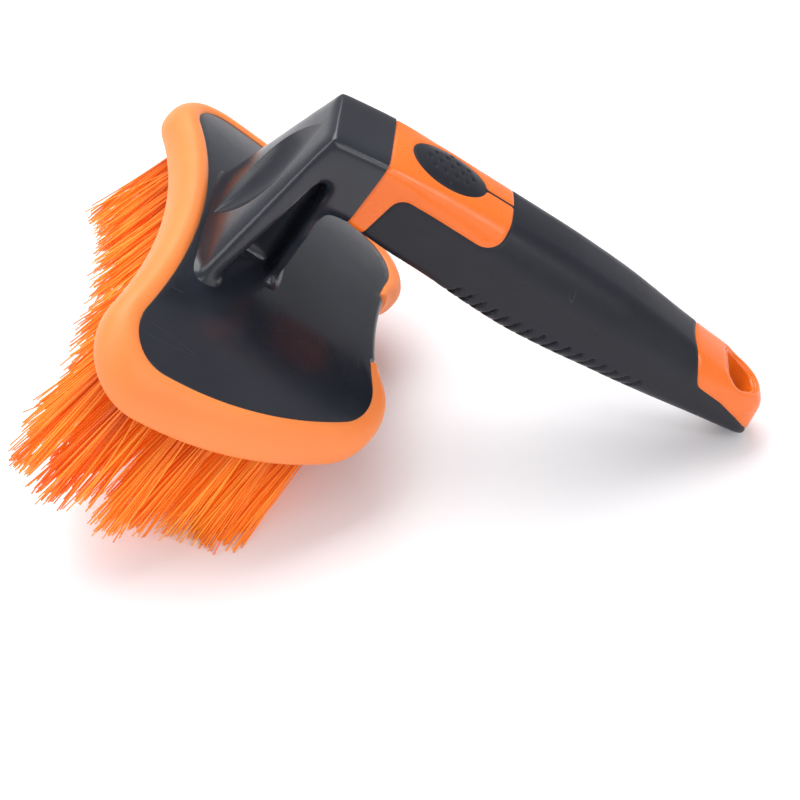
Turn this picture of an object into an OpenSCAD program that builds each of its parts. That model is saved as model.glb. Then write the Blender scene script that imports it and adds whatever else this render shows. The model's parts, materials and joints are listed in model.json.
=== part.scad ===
/* [Resting pose] */
// Angle between the head and the floor when the brush stands on its bristles and grip end
head_tilt = 38.96; // [30:0.01:45]
// Height of the head's reference point above the floor
rest_height = 98.5; // [90:0.1:105]
// Shift that puts the brush's middle over the origin
rest_shift = -85.5; // [-90:0.1:-75]

/* [Head] */
// Distance from the reference point to the front waist
front_waist = 26; // [20:0.5:30]
// Distance from the reference point to the heel waist
heel_waist = 95; // [90:0.5:100]
// Radius of the hollow in the front edge
front_hollow_r = 159.4; // [140:0.1:180]
// Radius of the hollow in the heel edge
heel_hollow_r = 74.1; // [70:0.1:80]
// Radius of the two front corners
front_corner_r = 13; // [10:0.5:15]
// Radius of the two heel corners
heel_corner_r = 16; // [12:0.5:18]
// Radius of the bowed sides
side_r = 120; // [100:5:160]
// Radius of the arch across the top of the head
arch_r = 210; // [180:5:240]
// Thickness of the moulded block
block_t = 14; // [12:0.5:16]

/* [Edge bumper] */
// Width of the soft edge around the block
bumper_w = 8; // [5:0.5:9]
// Depth of the soft edge
bumper_t = 15.5; // [15:0.5:18]
// How far the soft edge stands above the block
bumper_rise = 1; // [0.5:0.1:1.5]
// Half of the bare gap in the soft edge at the heel
bumper_gap = 16; // [12:1:20]

/* [Bristle tufts] */
// Number of tuft rows from front to heel
tuft_rows = 8; // [4:1:8]
// Distance between rows at the block
row_pitch = 9.4; // [9:0.1:9.5]
// Distance between tufts along a row
tuft_pitch = 8.6; // [8:0.1:9]
// Radius of a tuft hole
tuft_r = 2.2; // [1.8:0.1:2.5]
// Radius of a tuft at its tip
tip_r = 4.0; // [2.5:0.1:4.2]
// Depth of a tuft hole
hole_depth = 9; // [7:0.5:10]
// Free length of the front tufts
front_len = 51.5; // [40:0.5:55]
// Free length of the heel tufts
heel_len = 46; // [35:1:48]
// Forward lean of the front row
front_lean = 10; // [6:1:12]
// Backward lean of the heel row
heel_lean = 10; // [6:1:12]
// Outward lean of the tufts at each side
side_lean = 13; // [8:1:14]

/* [Arm and neck] */
// How much the arm's sides flare outwards for each millimetre below the neck
arm_flare = 0.353; // [0.3:0.001:0.36]
// Half-width of the neck
neck_half = 13.5; // [12:0.5:14]
// Half-width of the rear rib
rib_half = 12; // [8:0.5:13]
// Half-thickness of the web between front plate and rear rib
web_half = 3; // [2:0.5:5]
// Half-length of the hollow in the front plate
hollow_len = 25; // [20:1:26]
// Half-width of the hollow in the front plate
hollow_half = 11.5; // [8:0.5:12]
// Depth of the hollow in the front plate
hollow_depth = 2.5; // [1:0.5:3]

/* [Handle] */
// Thickness of the soft grip over the core
grip_t = 3; // [2:0.5:4]
// Length of the handle's spigot in the neck
spigot_len = 10; // [8:0.5:10]
// Half-width of the spigot
spigot_half = 9.5; // [8:0.5:10]
// Half-height of the spigot
spigot_rise = 7.5; // [6:0.5:8]
// Clearance around the spigot
spigot_gap = 0.1; // [0.05:0.05:0.3]
// Radius of the hang hole
hang_r = 7.5; // [6:0.5:7.5]
// Position of the hang hole along the handle
hang_u = 200.5; // [199:0.5:201]
// Number of finger grooves under the grip
groove_count = 16; // [10:1:16]
// Distance between finger grooves
groove_pitch = 4.57; // [4.2:0.01:4.6]

/* [Thumb pad] */
// Length of the oval thumb pad
pad_len = 27; // [22:0.5:28]
// Width of the oval thumb pad
pad_w = 19; // [14:0.5:20]
// Thickness of the thumb pad
pad_t = 2; // [1:0.1:2.5]

/* [Hidden] */
$fn = 64;
big = 400;
eps = 0.01;

// The head frame: x runs from front to heel, y across, z out of the top of the head.

// Centres of the corner arcs of the head's outline, on the +y side
front_corner = [31.5, 50.3];
heel_corner = [84.5, 31];
front_hollow = [front_waist - front_hollow_r, 0];
heel_hollow = [heel_waist + heel_hollow_r, 0];

// Centre of the bowed side, tangent to both corner arcs
side_run = heel_corner - front_corner;
side_a = side_r - front_corner_r;
side_b = side_r - heel_corner_r;
side_x = (side_run * side_run + side_a * side_a - side_b * side_b) / (2 * norm(side_run));
side_h = sqrt(side_a * side_a - side_x * side_x);
side_dir = side_run / norm(side_run);
side_centre = front_corner + side_x * side_dir - side_h * [-side_dir.y, side_dir.x];

function angle_to(from, to) = atan2(to.y - from.y, to.x - from.x);
function arc(centre, r, a0, a1, steps) =
  [for (i = [0:steps]) centre + r * [cos(a0 + (a1 - a0) * i / steps), sin(a0 + (a1 - a0) * i / steps)]];

a_front = angle_to(front_hollow, front_corner);
a_side_0 = angle_to(side_centre, front_corner);
a_side_1 = angle_to(side_centre, heel_corner);
a_heel = angle_to(heel_corner, heel_hollow);

// Half of the head's outline, grown outwards by g, from the front waist to the heel waist
function half_outline(g) = concat(
  arc(front_hollow, front_hollow_r - g, 0, a_front, 8),
  arc(front_corner, front_corner_r + g, 180 + a_front, a_side_0, 9),
  arc(side_centre, side_r + g, a_side_0, a_side_1, 6),
  arc(heel_corner, heel_corner_r + g, a_side_1, a_heel, 10),
  arc(heel_hollow, heel_hollow_r - g, 180 + a_heel, 180, 5)
);
function distinct(points) =
  [for (i = [0:len(points) - 1]) if (i == 0 || norm(points[i] - points[i - 1]) > 0.05) points[i]];
function mirrored(points) = [for (i = [len(points) - 2:-1:1]) [points[i].x, -points[i].y]];
function outline(g) = let (half = distinct(half_outline(g))) concat(half, mirrored(half));

// Arm, in the plane y = 0
knee = [35.4, 56.7];
seam_top = [53.6, 61.2];
seam_bottom = [57.4, 36.8];
mitre_top = [38.2, 52.3];
mitre_end = [51.3, 35];
front_plate = [[27.5, -8], knee, mitre_end, [45, 42.5], [43.2, 44.6], [41.9, 44], [36.2, -8]];
neck_side = [knee, seam_top, seam_bottom, mitre_end, mitre_top];
rear_rib = [[52.9, -8], [44.6, 43], mitre_end, [57.2, -8]];
web_side = [[33, -8], [38, 45], [46, 43], [54, -8]];
toe = [28.5, 0];
plate_lean = atan2(knee.x - toe.x, knee.y);
mitre_turn = 180 - atan2(mitre_end.x - mitre_top.x, mitre_top.y - mitre_end.y);

// The seam between neck and handle: its middle and its slant
seam_mid = (seam_top + seam_bottom) / 2;
seam_slant = atan2(seam_bottom.x - seam_top.x, seam_top.y - seam_bottom.y);

// Handle stations: distance along, half-width, top, bottom, corner radius
stations = [
  [57, 13.5, 62.6, 36, 3],
  [63, 13.7, 64.8, 35.6, 5],
  [73, 13.9, 66, 35.6, 6.5],
  [86, 14.2, 67.1, 36, 7],
  [100, 15, 68.6, 36.8, 8.5],
  [115, 15.5, 70.1, 38.4, 10],
  [130, 15.6, 71, 40.2, 10],
  [150, 15.5, 71.3, 42, 10],
  [170, 14.2, 70.3, 44.2, 9],
  [185, 12.6, 69.2, 46.6, 7.5],
  [200, 10.4, 68, 48.9, 5.5],
  [211, 8.4, 66.6, 50.2, 4],
  [217, 5, 56, 50.5, 2.2],
  [219, 2.5, 52.6, 50.42, 1]
];
grip_start = 63;
panel_end = 95.5;
under_start = 74;
under_half = 10;
groove_start = 97.5;
loop_start = 181;
// Lower edge of the orange loop end, in the plane y = 0
loop_floor = [[loop_start, 60.5], [197, 58.5], [219, 51.2]];

// Tuft layout
under_r = arch_r - block_t;
front_margin = 5.5;
heel_margin = 4.5;
side_column = 6.5;
function front_edge(v) = front_hollow.x + sqrt(front_hollow_r * front_hollow_r - v * v);
function side_edge(v) = side_centre.x + sqrt(side_r * side_r - (v - side_centre.y) * (v - side_centre.y));
function heel_corner_edge(v) =
  heel_corner.x + sqrt(heel_corner_r * heel_corner_r - (v - heel_corner.y) * (v - heel_corner.y));
function heel_edge(v) = v < 22 ? heel_waist + v * v / (2 * heel_hollow_r)
  : v < 43 ? heel_corner_edge(v)
  : side_edge(v);
function tuft_u(row, v) = front_edge(min(v, 50)) + front_margin + row * row_pitch;
// Tufts of one row, as signed column numbers; odd rows sit half a pitch aside
function row_columns(row) =
  [for (c = [-7:7])
    let (k = c + (row % 2) / 2, v = abs(k) * tuft_pitch)
    if (abs(k) <= side_column && tuft_u(row, v) < heel_edge(v) - heel_margin) k];
function free_len(row) = front_len + (heel_len - front_len) * row / (tuft_rows - 1);
flare_start = 4;
anchor_t = 0.5;
anchor_h = 2;
anchor_lift = 1.5;

module rest() {
  translate([rest_shift, 0, rest_height])
    rotate([0, head_tilt, 0])
      children();
}

// Extrudes a profile drawn in (x, z) to y = -half .. half
module side_extrude(points, half) {
  rotate([90, 0, 0])
    translate([0, 0, -half])
      linear_extrude(height = 2 * half) polygon(points);
}

module arch_slab(r_top, thickness) {
  difference() {
    translate([0, 0, -arch_r])
      rotate([0, 90, 0])
        cylinder(h = 125, r = r_top);
    translate([-1, 0, -arch_r])
      rotate([0, 90, 0])
        cylinder(h = 130, r = r_top - thickness);
  }
}

// Puts children on the axis of the tuft in the given row and column, z pointing out of the hole
module at_tuft(row, k) {
  v = k * tuft_pitch;
  lean = front_lean - (front_lean + heel_lean) * row / (tuft_rows - 1);
  translate([tuft_u(row, abs(v)), v, -arch_r + sqrt(under_r * under_r - v * v)])
    rotate([side_lean * k / side_column, lean, 0])
      rotate([180, 0, 0])
        children();
}

module seam_frame() {
  translate([seam_mid.x, 0, seam_mid.y])
    rotate([0, -seam_slant, 0])
      children();
}

module spigot(gap) {
  seam_frame() {
    translate([-spigot_len - gap, -spigot_half - gap, -spigot_rise - gap])
      cube([spigot_len + 2 + 2 * gap, 2 * (spigot_half + gap), 2 * (spigot_rise + gap)]);
    for (side = [-1, 1])
      translate([-spigot_len / 2, side * spigot_half, -5 - gap])
        cylinder(h = 10 + 2 * gap, r = 0.8 + gap);
  }
}

// The arm's flared upper part: its sides leave the neck's sides along a slanting mitre line
module front_plate_solid() {
  reach = 70;
  back = 12;
  intersection() {
    side_extrude(front_plate, 40);
    translate([mitre_top.x, 0, mitre_top.y])
      rotate([0, mitre_turn, 0])
        linear_extrude(height = 160, center = true)
          polygon([
            [-back, neck_half - arm_flare * back],
            [reach, neck_half + arm_flare * reach],
            [reach, -neck_half - arm_flare * reach],
            [-back, arm_flare * back - neck_half]
          ]);
  }
}

module front_hollow_cut() {
  hollow_r = (hollow_len * hollow_len + hollow_half * hollow_half) / (2 * hollow_half);
  translate([toe.x, 0, toe.y])
    rotate([0, plate_lean, 0])
      translate([-5, 0, 28])
        rotate([0, 90, 0])
          intersection() {
            translate([0, hollow_r - hollow_half, 0])
              cylinder(h = 5 + hollow_depth, r = hollow_r, $fn = 96);
            translate([0, hollow_half - hollow_r, 0])
              cylinder(h = 5 + hollow_depth, r = hollow_r, $fn = 96);
          }
}

module brush_block() {
  color("#2f323b") rest() difference() {
    union() {
      intersection() {
        arch_slab(arch_r, block_t);
        translate([0, 0, -50])
          linear_extrude(height = 60)
            polygon(outline(0));
      }
      front_plate_solid();
      side_extrude(neck_side, neck_half);
      side_extrude(rear_rib, rib_half);
      side_extrude(web_side, web_half);
    }
    spigot(spigot_gap);
    front_hollow_cut();
    for (row = [0:tuft_rows - 1])
      for (k = row_columns(row))
        at_tuft(row, k)
          translate([0, 0, -hole_depth])
            cylinder(h = hole_depth + 3, r = tuft_r);
  }
}

module edge_bumper() {
  color("#ff9755") rest() difference() {
    intersection() {
      arch_slab(arch_r + bumper_rise, bumper_t);
      translate([0, 0, -60])
        linear_extrude(height = 70)
          difference() {
            polygon(outline(bumper_w));
            polygon(outline(0));
          }
    }
    translate([75, -bumper_gap, -60]) cube([60, 2 * bumper_gap, 80]);
  }
}

// Profile of the handle in the plane y = 0, pulled in by t, from station i0 to station i1
function side_profile(t, i0, i1) = concat(
  [for (i = [i0:i1]) [stations[i][0], stations[i][2] - t]],
  [for (i = [i1:-1:i0]) [stations[i][0], stations[i][3] + t]]
);
function plan_profile(t, i0, i1) = concat(
  [for (i = [i0:i1]) [stations[i][0], stations[i][1] - t]],
  [for (i = [i1:-1:i0]) [stations[i][0], t - stations[i][1]]]
);

// The core's bar under the grip
module core_bar() {
  intersection() {
    side_extrude(side_profile(grip_t, 0, 9), 20);
    translate([0, 0, 20])
      linear_extrude(height = 60)
        polygon(plan_profile(grip_t, 0, 9));
  }
}

// Everything that lies inside the orange panel's window on top of the handle
module panel_window(height) {
  translate([0, 0, 55.6])
    rotate([0, -3.5, 0])
      translate([55, -20, 0])
        cube([panel_end - 55, 40, height]);
}

module panel_block() {
  intersection() {
    panel_window(30);
    side_extrude(side_profile(0, 0, 4), 20);
    translate([0, 0, 20])
      linear_extrude(height = 60)
        polygon(plan_profile(0, 0, 4));
    translate([50, 0, 36.5])
      rotate([0, 90 - 3.5, 0])
        cylinder(h = 60, r = 28.5, $fn = 96);
  }
}

// The orange patch under the handle, just ahead of the finger notches
module under_window(depth) {
  translate([under_start, -under_half, 45 - depth])
    cube([panel_end - under_start, 2 * under_half, depth]);
}

module under_block() {
  intersection() {
    under_window(12);
    side_extrude(side_profile(0, 0, 4), 20);
  }
}

module collar() {
  intersection() {
    side_extrude([seam_top, seam_bottom, [grip_start, 35.8], [grip_start, 64.8]], neck_half);
    translate([50, 0, 36.5])
      rotate([0, 90 - 3.5, 0])
        cylinder(h = 60, r = 28.5, $fn = 96);
  }
}

module loop_end() {
  intersection() {
    side_extrude([
      [loop_start, 69.5], [200, 68], [212, 66.4], [219.2, 51.2],
      loop_floor[1], loop_floor[0]
    ], 20);
    translate([0, 0, 20])
      linear_extrude(height = 60)
        polygon(concat(
          [[loop_start, -12.9], [190, -11.9], [200, -10.4]],
          arc([209.2, 0], 10, -60, 60, 10),
          [[200, 10.4], [190, 11.9], [loop_start, 12.9]]
        ));
  }
}

module oval(length, width) {
  polygon([for (a = [0:10:350]) [length / 2 * cos(a), width / 2 * sin(a)]]);
}

// The thumb pad's place: on the panel, with its runner to the grip
module pad_shape() {
  translate([72.6, 0, 66.1 - pad_t])
    rotate([0, -5, 0]) {
      linear_extrude(height = pad_t + 0.4) oval(pad_len, pad_w);
      translate([pad_len / 2 - 1, -0.6, 0]) cube([panel_end - 83, 1.2, pad_t]);
    }
}

module hang_hole(grow) {
  translate([hang_u, 0, 40]) {
    cylinder(h = 40, r = hang_r + grow);
    linear_extrude(height = 40)
      polygon([
        [(hang_r + grow) * cos(39.7), (hang_r + grow) * sin(39.7)],
        [1.3 * (hang_r + grow), 0],
        [(hang_r + grow) * cos(39.7), -(hang_r + grow) * sin(39.7)],
        [0, 0]
      ]);
  }
}

module handle_core() {
  color("#f0842f") rest() difference() {
    union() {
      spigot(0);
      collar();
      core_bar();
      panel_block();
      under_block();
      loop_end();
    }
    pad_shape();
    hang_hole(0);
  }
}

module station_corners(s) {
  for (side = [-1, 1])
    for (height = [s[2] - s[4], s[3] + s[4]])
      translate([s[0], side * (s[1] - s[4]), height])
        rotate([0, 90, 0])
          cylinder(h = eps, r = s[4], $fn = 32);
}

module grip_loft() {
  for (i = [1:len(stations) - 2])
    hull() {
      station_corners(stations[i]);
      station_corners(stations[i + 1]);
    }
}

// Height of the handle's underside at distance u
function underside(u) = lookup(u, [for (st = stations) [st[0], st[3]]]);

module finger_grooves() {
  for (i = [0:groove_count - 1])
    translate([groove_start + i * groove_pitch, 0, underside(groove_start + i * groove_pitch)])
      cube([1.2, 22, 1.6], center = true);
}

module grip_sleeve() {
  color("#3a3a42") rest() difference() {
    grip_loft();
    core_bar();
    panel_window(30);
    under_window(20);
    side_extrude([
      [loop_start, 90], [240, 90], [240, 51.2], loop_floor[2],
      loop_floor[1], loop_floor[0]
    ], 30);
    hang_hole(1);
    finger_grooves();
  }
}

module thumb_pad() {
  color("#3f3f46") rest() pad_shape();
}

module floor_trim() {
  translate([-big / 2, -big / 2, -big]) cube([big, big, big]);
}

module bristle_row(row) {
  color("#ff8a1f")
    for (k = row_columns(row))
      difference() {
        rest() at_tuft(row, k) difference() {
          union() {
            translate([0, 0, -hole_depth])
              cylinder(h = hole_depth + flare_start, r = tuft_r);
            translate([0, 0, flare_start])
              cylinder(h = free_len(row) - flare_start, r1 = tuft_r, r2 = tip_r);
          }
          anchor_shape(1);
        }
        floor_trim();
      }
}

// A flat wire anchor across the foot of a tuft hole
module anchor_shape(grow) {
  translate([-tuft_r - grow, -anchor_t / 2, -hole_depth + anchor_lift])
    cube([2 * (tuft_r + grow), anchor_t, anchor_h]);
}

module anchor_row(row) {
  color("#b8b8b0") rest()
    for (k = row_columns(row))
      at_tuft(row, k)
        intersection() {
          translate([0, 0, -hole_depth])
            cylinder(h = hole_depth, r = tuft_r);
          anchor_shape(1);
        }
}

module bristle_row_1() { bristle_row(0); }
module bristle_row_2() { bristle_row(1); }
module bristle_row_3() { bristle_row(2); }
module bristle_row_4() { bristle_row(3); }
module bristle_row_5() { bristle_row(4); }
module bristle_row_6() { bristle_row(5); }
module bristle_row_7() { bristle_row(6); }
module bristle_row_8() { bristle_row(7); }

module anchor_row_1() { anchor_row(0); }
module anchor_row_2() { anchor_row(1); }
module anchor_row_3() { anchor_row(2); }
module anchor_row_4() { anchor_row(3); }
module anchor_row_5() { anchor_row(4); }
module anchor_row_6() { anchor_row(5); }
module anchor_row_7() { anchor_row(6); }
module anchor_row_8() { anchor_row(7); }

brush_block();
edge_bumper();
handle_core();
grip_sleeve();
thumb_pad();
bristle_row_1();
bristle_row_2();
bristle_row_3();
bristle_row_4();
bristle_row_5();
bristle_row_6();
bristle_row_7();
bristle_row_8();
anchor_row_1();
anchor_row_2();
anchor_row_3();
anchor_row_4();
anchor_row_5();
anchor_row_6();
anchor_row_7();
anchor_row_8();
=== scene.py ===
"""The wheel brush's looks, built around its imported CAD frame.

Shapes are worked out in the head frame, in millimetres: u runs from the front of the head to the
heel, y across it and n out of its top. to_world() puts them in the row frame, in metres.
"""
import json
import math

import bpy
import numpy as np
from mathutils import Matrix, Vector
from mathutils.geometry import delaunay_2d_cdt


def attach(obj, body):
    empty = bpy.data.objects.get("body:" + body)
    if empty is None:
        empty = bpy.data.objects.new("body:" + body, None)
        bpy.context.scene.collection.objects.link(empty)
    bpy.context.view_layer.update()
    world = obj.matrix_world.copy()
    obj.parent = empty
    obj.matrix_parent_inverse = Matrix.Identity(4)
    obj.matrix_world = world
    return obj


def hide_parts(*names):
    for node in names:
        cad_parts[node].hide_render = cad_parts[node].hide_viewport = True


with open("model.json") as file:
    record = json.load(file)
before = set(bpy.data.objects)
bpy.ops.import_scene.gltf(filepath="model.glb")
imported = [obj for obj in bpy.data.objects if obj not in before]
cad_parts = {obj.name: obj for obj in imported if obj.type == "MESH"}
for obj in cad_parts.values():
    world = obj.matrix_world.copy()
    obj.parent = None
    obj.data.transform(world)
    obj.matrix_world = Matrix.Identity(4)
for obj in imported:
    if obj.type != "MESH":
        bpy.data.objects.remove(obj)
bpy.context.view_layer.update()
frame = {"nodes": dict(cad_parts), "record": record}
rng = np.random.default_rng(7)
BODY = "root"

# ---- the head frame
HANG_HOLE = next(m for m in frame["record"]["mounts"] if m["name"] == "hang_hole")
HANG_U, HANG_N = 200.5, 62.0  # where the hang hole's mount is in the head frame
N_AXIS = np.array(HANG_HOLE["axis"])
U_AXIS = np.array([N_AXIS[2], 0.0, -N_AXIS[0]])
ORIGIN = np.array(HANG_HOLE["pos_m"]) - (HANG_U * U_AXIS + HANG_N * N_AXIS) / 1000


def to_world(points):
    p = np.asarray(points, float)
    world = ORIGIN + (p[:, :1] * U_AXIS + p[:, 2:3] * N_AXIS) / 1000
    world[:, 1] += p[:, 1] / 1000
    return world


# ---- meshes and materials
def make_mesh(name, points, faces):
    mesh = bpy.data.meshes.new(name)
    mesh.from_pydata([tuple(p) for p in to_world(points)], [], [tuple(f) for f in faces])
    mesh.validate()
    return mesh


def new_object(name, data):
    obj = bpy.data.objects.new(name, data)
    bpy.context.scene.collection.objects.link(obj)
    return obj


def make_piece(name, points, faces, material, node=None):
    mesh = make_mesh(name, points, faces)
    mesh.shade_smooth()
    return add_piece(name, mesh, material, node)


def add_piece(name, mesh, material, node=None):
    piece = new_object(name, mesh)
    mesh.materials.clear()
    mesh.materials.append(material)
    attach(piece, BODY)
    if node:
        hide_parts(node)
    return piece


HAIRLINE = 0.003  # how much of the noise's range a hairline takes
STRETCHED, PATCH_WIDE, PATCH_SHORT = 100, 30, 45  # scales, a metre: of lines and of their patches


class Nodes:
    """A short way to write a material's node tree."""

    def __init__(self, name):
        self.material = bpy.data.materials.new(name)
        self.material.use_nodes = True
        self.tree = self.material.node_tree
        self.shader = self.tree.nodes["Principled BSDF"]
        coordinates = self.tree.nodes.new("ShaderNodeTexCoord")
        self.where = coordinates.outputs["Object"]

    def feed(self, socket, value):
        if isinstance(value, bpy.types.NodeSocket):
            self.tree.links.new(value, socket)
        else:
            socket.default_value = value

    def add(self, kind, inputs=(), **settings):
        node = self.tree.nodes.new(kind)
        for key, value in settings.items():
            setattr(node, key, value)
        for key, value in dict(inputs).items():
            self.feed(node.inputs[key], value)
        return node

    def mapped(self, scale, turn):
        inputs = {"Vector": self.where, "Scale": scale, "Rotation": turn}
        return self.add("ShaderNodeMapping", inputs).outputs["Vector"]

    def noise(self, scale, detail=4.0, rough=0.5, where=None):
        node = self.add("ShaderNodeTexNoise", {
            "Vector": where or self.where, "Scale": scale, "Detail": detail, "Roughness": rough})
        return node.outputs["Fac"]

    def ramp(self, value, stops):
        node = self.add("ShaderNodeValToRGB", {"Fac": value})
        ramp = node.color_ramp
        while len(ramp.elements) < len(stops):
            ramp.elements.new(1.0)
        for element, (at, colour) in zip(ramp.elements, stops):
            element.position = at
            element.color = (*colour, 1)
        return node.outputs["Color"]

    def grey(self, value, low_at, low, high_at, high):
        node = self.add("ShaderNodeMapRange", {
            "Value": value, "From Min": low_at, "From Max": high_at, "To Min": low, "To Max": high})
        return node.outputs["Result"]

    def maths(self, operation, a, b):
        return self.add("ShaderNodeMath", {0: a, 1: b}, operation=operation).outputs[0]

    def near(self, value, level, within):
        """1 where value is close to level."""
        inputs = {0: value, 1: level, 2: within}
        return self.add("ShaderNodeMath", inputs, operation="COMPARE").outputs[0]

    def mix(self, factor, a, b):
        a, b = (c if isinstance(c, bpy.types.NodeSocket) else (*c, 1) for c in (a, b))
        return self.add("ShaderNodeMix", {0: factor, 6: a, 7: b}, data_type="RGBA").outputs[2]

    def scratches(self, scale, turn, keep):
        """Sparse hairlines: the thin middle line of a stretched noise, kept only in patches."""
        line = self.near(self.noise(1.0, 0.0, 0.5, self.mapped(scale, turn)), 0.5, HAIRLINE)
        patches = [PATCH_WIDE if s >= STRETCHED else max(s, PATCH_SHORT) for s in scale]
        patch = self.noise(1.0, 1.0, 0.5, self.mapped(patches, turn))
        return self.maths("MULTIPLY", line, self.grey(patch, keep, 0.0, keep + 0.04, 1.0))

    def bump(self, value, strength, distance, after=None):
        inputs = {"Height": value, "Strength": strength, "Distance": distance}
        if after is not None:
            inputs["Normal"] = after
        return self.add("ShaderNodeBump", inputs).outputs["Normal"]

    def set(self, **sockets):
        for key, value in sockets.items():
            self.feed(self.shader.inputs[key.replace("_", " ")], value)
        return self.material


def block_plastic():
    m = Nodes("block plastic")
    cloud = m.noise(35.0, 3.0)
    hair = m.maths("MAXIMUM",
                   m.scratches((3, 160, 20), (0.2, 0.4, 0.5), 0.66),
                   m.scratches((150, 4, 25), (0.1, 0.7, 1.9), 0.68))
    colour = m.ramp(cloud, [(0.3, (0.011, 0.013, 0.020)), (0.7, (0.017, 0.020, 0.028))])
    colour = m.mix(m.maths("MULTIPLY", hair, 0.16), colour, (0.10, 0.105, 0.12))
    haze = m.noise(90.0, 5.0, 0.6)
    rough = m.grey(haze, 0.3, 0.17, 0.75, 0.28)
    rough = m.maths("ADD", rough, m.maths("MULTIPLY", hair, 0.25))
    normal = m.bump(m.noise(420.0, 3.0, 0.6), 0.08, 0.0002)
    normal = m.bump(hair, 0.15, 0.0001, normal)
    return m.set(Base_Color=colour, Roughness=rough, Normal=normal, IOR=1.5)


def edge_rubber():
    m = Nodes("edge rubber")
    cloud = m.noise(28.0, 3.0)
    colour = m.ramp(cloud, [(0.3, (0.89, 0.235, 0.052)), (0.7, (0.93, 0.262, 0.062))])
    rough = m.grey(m.noise(120.0, 4.0, 0.6), 0.3, 0.42, 0.75, 0.56)
    normal = m.bump(m.noise(900.0, 3.0, 0.6), 0.12, 0.0002)
    m.shader.subsurface_method = "RANDOM_WALK"
    return m.set(Base_Color=colour, Roughness=rough, Normal=normal, IOR=1.45,
                 Subsurface_Weight=0.25, Subsurface_Radius=(1.0, 0.35, 0.12),
                 Subsurface_Scale=0.003)


def core_plastic():
    m = Nodes("core plastic")
    cloud = m.noise(30.0, 3.0)
    colour = m.ramp(cloud, [(0.3, (0.84, 0.150, 0.008)), (0.7, (0.88, 0.170, 0.012))])
    rough = m.grey(m.noise(150.0, 4.0, 0.6), 0.3, 0.24, 0.75, 0.36)
    normal = m.bump(m.noise(700.0, 3.0, 0.6), 0.06, 0.0002)
    return m.set(Base_Color=colour, Roughness=rough, Normal=normal, IOR=1.5,
                 Subsurface_Weight=0.12, Subsurface_Radius=(1.0, 0.3, 0.1),
                 Subsurface_Scale=0.002)


PARTING_SLOPE, PARTING_N = 0.0957, 43.97  # the mould's parting line, n against u
PARTING_HALF = 0.22


def parting_line(m):
    """1 along the faint line where the grip's mould halves met."""
    across = (N_AXIS - PARTING_SLOPE * U_AXIS) * 1000
    away = m.add("ShaderNodeVectorMath", {0: m.where, 1: tuple(across)}, operation="DOT_PRODUCT")
    level = PARTING_N + float(ORIGIN @ across)
    return m.near(away.outputs["Value"], level, PARTING_HALF)


def grip_rubber():
    m = Nodes("grip rubber")
    cloud = m.noise(40.0, 4.0, 0.6)
    hair = m.scratches((170, 5, 28), (0.3, 0.1, 1.2), 0.64)
    colour = m.ramp(cloud, [(0.3, (0.0075, 0.0085, 0.0140)), (0.7, (0.0115, 0.0130, 0.0200))])
    dust = m.grey(m.noise(1500.0, 2.0, 0.7), 0.70, 0.0, 0.78, 0.25)
    marks = m.maths("MAXIMUM", m.maths("MULTIPLY", hair, 0.22), dust)
    colour = m.mix(marks, colour, (0.12, 0.12, 0.125))
    rough = m.grey(m.noise(160.0, 4.0, 0.6), 0.3, 0.36, 0.75, 0.48)
    normal = m.bump(m.noise(1300.0, 3.0, 0.6), 0.18, 0.0002)
    normal = m.bump(parting_line(m), 0.5, 0.0002, normal)
    return m.set(Base_Color=colour, Roughness=rough, Normal=normal, IOR=1.38)


def bristle_fibre():
    m = Nodes("bristle fibre")
    along = m.add("ShaderNodeAttribute", attribute_name="along").outputs["Fac"]
    tone = m.add("ShaderNodeAttribute", attribute_name="tone").outputs["Fac"]
    # Painted light and shade: lit is a lit copy of the fibre's orange, deep a darker shaded copy of
    # it, where the tufts shade their own roots.
    lit = m.ramp(tone, [(0.0, (0.92, 0.150, 0.010)), (0.5, (1.0, 0.28, 0.018)),
                        (1.0, (1.0, 0.44, 0.060))])
    deep = m.ramp(tone, [(0.0, (0.46, 0.070, 0.008)), (0.5, (0.78, 0.130, 0.012)),
                         (1.0, (0.95, 0.25, 0.022))])
    # Painted shade: the colour runs from the shaded copy at the roots to the lit copy towards the
    # tips.
    colour = m.mix(m.ramp(along, [(0.1, (0, 0, 0)), (0.62, (1, 1, 1))]), deep, lit)
    rough = m.grey(m.noise(400.0, 2.0), 0.3, 0.30, 0.7, 0.42)
    return m.set(Base_Color=colour, Roughness=rough, IOR=1.45,
                 Emission_Color=colour, Emission_Strength=0.14)  # stands in for light let through


def anchor_wire():
    m = Nodes("anchor wire")
    colour = m.ramp(m.noise(300.0, 2.0), [(0.3, (0.48, 0.48, 0.46)), (0.7, (0.62, 0.62, 0.60))])
    rough = m.grey(m.noise(500.0, 2.0), 0.3, 0.3, 0.7, 0.45)
    return m.set(Base_Color=colour, Roughness=rough, Metallic=1.0)


BLOCK = block_plastic()
EDGE = edge_rubber()
CORE = core_plastic()
GRIP = grip_rubber()
BRISTLE = bristle_fibre()
WIRE = anchor_wire()

# ---- head outline
FRONT_WAIST, HEEL_WAIST = 26.0, 95.0
FRONT_HOLLOW_R, HEEL_HOLLOW_R = 159.4, 74.1
FRONT_CORNER, FRONT_CORNER_R = np.array([31.5, 50.3]), 13.0
HEEL_CORNER, HEEL_CORNER_R = np.array([84.5, 31.0]), 16.0
SIDE_R = 120.0
ARCH_R, BLOCK_T = 210.0, 14.0
UNDER_R = ARCH_R - BLOCK_T
FRONT_HOLLOW = np.array([FRONT_WAIST - FRONT_HOLLOW_R, 0.0])
HEEL_HOLLOW = np.array([HEEL_WAIST + HEEL_HOLLOW_R, 0.0])


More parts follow.
